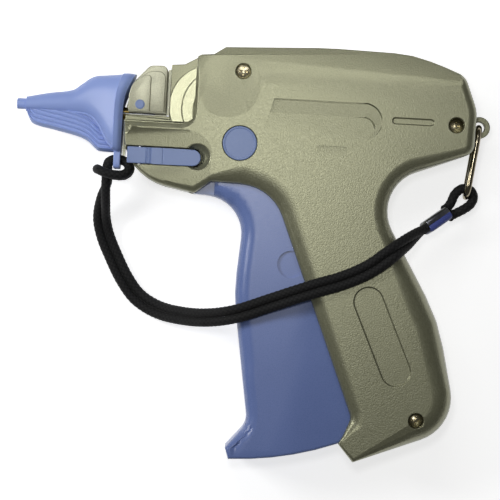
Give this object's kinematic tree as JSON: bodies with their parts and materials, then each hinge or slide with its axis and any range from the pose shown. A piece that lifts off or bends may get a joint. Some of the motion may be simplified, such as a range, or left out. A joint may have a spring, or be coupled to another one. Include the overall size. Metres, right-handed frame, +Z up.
{
  "type": "garment tag attacher",
  "caption": "Hand-held pistol-shaped garment tag attacher lying on its side, with a long squeeze trigger, a capped hollow needle and a cord strap that keeps the cap.",
  "frame": {"origin": "middle of the tool's plan on the surface that it lies on", "axes": "+X along the needle towards the back of the head, +Y from the handle to the top of the head, +Z up from the surface"},
  "size_m": [0.1608, 0.1397, 0.0319],
  "materials": {
    "casing_grey": "fine moulded texture",
    "trigger_blue": "satin moulded",
    "cap_blue": "satin moulded, slightly translucent",
    "fitting_blue": "satin moulded",
    "block_grey": "satin",
    "screw_steel": "plated",
    "bright_steel": "ground",
    "bush_brass": "turned",
    "inner_nylon": "moulded",
    "link_chrome": "plated wire",
    "cord_black": "braided",
    "sleeve_blue": "satin",
    "crimp_metal": "satin"
  },
  "bodies": {
    "casing": {"lower_shell": "casing_grey", "upper_shell": "casing_grey", "casing_screws": "screw_steel", "nose_block": "block_grey", "block_pin": "fitting_blue", "needle_base": "bush_brass", "needle": "bright_steel", "lock_lever_pin": "bright_steel", "lever_pin": "bright_steel", "return_spring": "bright_steel", "rod_guide": "bush_brass", "wheel_axle": "bright_steel", "strap_link": "link_chrome", "strap_loop": "cord_black", "strap_sleeve": "sleeve_blue", "strap_crimp": "crimp_metal", "strap_cord": "cord_black"},
    "trigger": {"trigger": "trigger_blue", "pivot_caps": "fitting_blue", "drive_pin": "bright_steel", "feed_pawl": "bright_steel"},
    "drive_lever": {"drive_lever": "inner_nylon"},
    "slider": {"slider": "inner_nylon", "slider_pin": "bright_steel", "push_rod": "bright_steel"},
    "feed_wheel": {"feed_wheel": "inner_nylon"},
    "lock_lever": {"lock_lever": "fitting_blue"},
    "needle_cap": {"needle_cap": "cap_blue", "strap_hitch": "cord_black"}
  },
  "joints": [
    {"name": "trigger", "type": "hinge", "parent": "casing", "child": "trigger", "pos_m": [-0.004, 0.0363, 0.014], "axis": [0, 0, 1], "range_deg": [0, 11], "stiffness_Nm_per_rad": 1, "springref_deg": -5.73},
    {"name": "drive_lever", "type": "hinge", "parent": "casing", "child": "drive_lever", "pos_m": [0.039, -0.01, 0.014], "axis": [0, 0, 1], "range_deg": [0, 46.1]},
    {"name": "slider", "type": "slide", "parent": "casing", "child": "slider", "axis": [-1, 0, 0], "range_m": [0, 0.0466]},
    {"name": "feed_wheel", "type": "hinge", "parent": "casing", "child": "feed_wheel", "pos_m": [-0.0227, 0.0368, 0.014], "axis": [0, 0, 1], "range_deg": [-27.8, 0]},
    {"name": "lock_lever", "type": "hinge", "parent": "casing", "child": "lock_lever", "pos_m": [-0.0372, 0.0305, 0.0254], "axis": [0, -1, 0], "range_deg": [0, 95]},
    {"name": "needle_cap", "type": "slide", "parent": "casing", "child": "needle_cap", "axis": [-1, 0, 0], "range_m": [0, 0.04]}
  ],
  "couplings": [
    {"joint": "drive_lever", "follows": "trigger", "ratio": 4.1818},
    {"joint": "slider", "follows": "trigger", "m_per_rad": 0.24221},
    {"joint": "feed_wheel", "follows": "trigger", "ratio": -2.5175}
  ]
}
